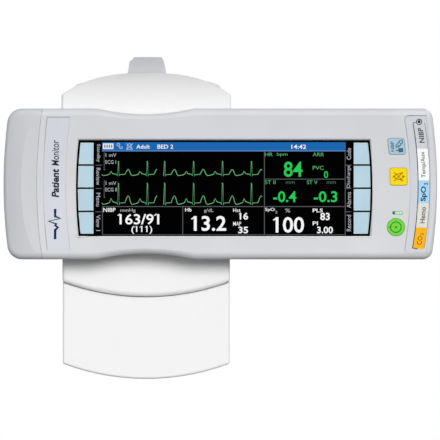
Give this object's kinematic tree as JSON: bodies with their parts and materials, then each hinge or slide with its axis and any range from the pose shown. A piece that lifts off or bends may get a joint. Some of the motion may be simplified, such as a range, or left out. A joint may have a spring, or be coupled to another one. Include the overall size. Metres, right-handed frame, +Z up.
{
  "type": "patient monitor",
  "caption": "Wide bedside patient monitor with a strip-shaped touch screen, side keys and end-panel sockets, clipped onto a wall docking station with a release lever.",
  "frame": {"origin": "centre of the rear bolt pattern, on the back face of the dock's mounting plate", "axes": "+X to the right seen from the front along the monitor's length, +Y towards the wall, +Z up; the screen faces -Y"},
  "size_m": [0.2912, 0.104, 0.2189],
  "materials": {
    "casing": "fine texture",
    "alarm_diffuser": "translucent, satin",
    "seal": "matte",
    "steel": "satin",
    "badge": "fine texture",
    "label_print": "printed, satin",
    "mask": "fine texture",
    "screen_glass": "polished",
    "screen_module": "matte",
    "board": "solder mask",
    "clear_pipe": "translucent",
    "tray": "satin",
    "dark_plastic": "matte",
    "motor": "satin",
    "silicone": "matte",
    "socket_gray": "matte",
    "contact_metal": "plated",
    "dark_window": "polished",
    "dock_white": "fine texture",
    "dock_gray": "fine texture",
    "plate_steel": "satin",
    "latch_plastic": "matte",
    "cells": "sleeved",
    "cover": "fine texture",
    "soft_key": "satin",
    "pressure_key": "satin",
    "alarm_key": "satin",
    "power_key": "satin"
  },
  "bodies": {
    "dock": {"dock_front_shell": "dock_white", "dock_base_shell": "dock_white", "dock_rear_shell": "dock_gray", "mount_plate": "plate_steel", "mount_fasteners": "steel", "cradle_plate": "dock_gray", "guide_posts": "steel", "contact_block": "dark_plastic", "dock_ir_window": "dark_window", "shelf_pads": "seal", "dock_power_socket": "socket_gray", "dock_data_sockets": "socket_gray", "lever_pin": "steel", "latch_spring": "steel", "dock_board": "board", "power_module": "tray"},
    "contact_pins": {"contact_pins": "contact_metal"},
    "release_lever": {"release_lever": "dock_gray"},
    "latch_slide": {"latch_slide": "latch_plastic"},
    "monitor": {"front_housing": "casing", "rear_housing": "casing", "alarm_lens": "alarm_diffuser", "housing_gasket": "seal", "housing_screws": "steel", "badge_panel": "badge", "label_panel": "label_print", "display_mask": "mask", "touch_glass": "screen_glass", "lcd_module": "screen_module", "key_boards": "board", "charge_light_pipe": "clear_pipe", "chassis_plate": "tray", "main_board": "board", "alarm_led_board": "board", "speaker": "dark_plastic", "nibp_pump": "motor", "nibp_valve": "dark_plastic", "nibp_hose": "silicone", "nibp_connector": "socket_gray", "temp_aux_socket": "socket_gray", "spo2_socket": "socket_gray", "hemo_socket": "socket_gray", "co2_socket": "socket_gray", "contact_pads": "contact_metal", "monitor_ir_window": "dark_window"},
    "battery_pack": {"battery_case": "dark_plastic", "battery_cells": "cells", "battery_cover": "cover"},
    "battery_latch": {"battery_latch": "latch_plastic"},
    "soft_key_left_1": {"soft_key_left_1": "soft_key"},
    "soft_key_left_2": {"soft_key_left_2": "soft_key"},
    "soft_key_left_3": {"soft_key_left_3": "soft_key"},
    "soft_key_left_4": {"soft_key_left_4": "soft_key"},
    "soft_key_right_1": {"soft_key_right_1": "soft_key"},
    "soft_key_right_2": {"soft_key_right_2": "soft_key"},
    "soft_key_right_3": {"soft_key_right_3": "soft_key"},
    "soft_key_right_4": {"soft_key_right_4": "soft_key"},
    "pressure_key": {"pressure_key": "pressure_key"},
    "alarm_pause_key": {"alarm_pause_key": "alarm_key"},
    "power_key": {"power_key": "power_key"}
  },
  "joints": [
    {"name": "monitor_undock", "type": "slide", "parent": "dock", "child": "monitor", "axis": [0, -1, 0], "range_m": [0, 0.1]},
    {"name": "lever_turn", "type": "hinge", "parent": "dock", "child": "release_lever", "pos_m": [0, -0.0365, 0.059], "axis": [-1, 0, 0], "range_deg": [0, 12], "stiffness_Nm_per_rad": 0.3},
    {"name": "latch_lift", "type": "slide", "parent": "dock", "child": "latch_slide", "axis": [0, 0, 1], "range_m": [0, 0.003], "deforming": ["latch_spring"]},
    {"name": "contact_press", "type": "slide", "parent": "dock", "child": "contact_pins", "axis": [0, 1, 0], "range_m": [0, 0.001], "stiffness_N_per_m": 400},
    {"name": "battery_slide", "type": "slide", "parent": "monitor", "child": "battery_pack", "axis": [0, 1, 0], "range_m": [0, 0.035]},
    {"name": "battery_latch_slide", "type": "slide", "parent": "battery_pack", "child": "battery_latch", "axis": [1, 0, 0], "range_m": [0, 0.003], "stiffness_N_per_m": 300},
    {"name": "soft_key_left_1_press", "type": "slide", "parent": "monitor", "child": "soft_key_left_1", "axis": [0, 1, 0], "range_m": [0, 0.0006], "stiffness_N_per_m": 400},
    {"name": "soft_key_left_2_press", "type": "slide", "parent": "monitor", "child": "soft_key_left_2", "axis": [0, 1, 0], "range_m": [0, 0.0006], "stiffness_N_per_m": 400},
    {"name": "soft_key_left_3_press", "type": "slide", "parent": "monitor", "child": "soft_key_left_3", "axis": [0, 1, 0], "range_m": [0, 0.0006], "stiffness_N_per_m": 400},
    {"name": "soft_key_left_4_press", "type": "slide", "parent": "monitor", "child": "soft_key_left_4", "axis": [0, 1, 0], "range_m": [0, 0.0006], "stiffness_N_per_m": 400},
    {"name": "soft_key_right_1_press", "type": "slide", "parent": "monitor", "child": "soft_key_right_1", "axis": [0, 1, 0], "range_m": [0, 0.0006], "stiffness_N_per_m": 400},
    {"name": "soft_key_right_2_press", "type": "slide", "parent": "monitor", "child": "soft_key_right_2", "axis": [0, 1, 0], "range_m": [0, 0.0006], "stiffness_N_per_m": 400},
    {"name": "soft_key_right_3_press", "type": "slide", "parent": "monitor", "child": "soft_key_right_3", "axis": [0, 1, 0], "range_m": [0, 0.0006], "stiffness_N_per_m": 400},
    {"name": "soft_key_right_4_press", "type": "slide", "parent": "monitor", "child": "soft_key_right_4", "axis": [0, 1, 0], "range_m": [0, 0.0006], "stiffness_N_per_m": 400},
    {"name": "pressure_key_press", "type": "slide", "parent": "monitor", "child": "pressure_key", "axis": [0, 1, 0], "range_m": [0, 0.0006], "stiffness_N_per_m": 400},
    {"name": "alarm_pause_key_press", "type": "slide", "parent": "monitor", "child": "alarm_pause_key", "axis": [0, 1, 0], "range_m": [0, 0.0006], "stiffness_N_per_m": 400},
    {"name": "power_key_press", "type": "slide", "parent": "monitor", "child": "power_key", "axis": [0, 1, 0], "range_m": [0, 0.0006], "stiffness_N_per_m": 400}
  ],
  "couplings": [
    {"joint": "latch_lift", "follows": "lever_turn", "m_per_rad": 0.014}
  ]
}
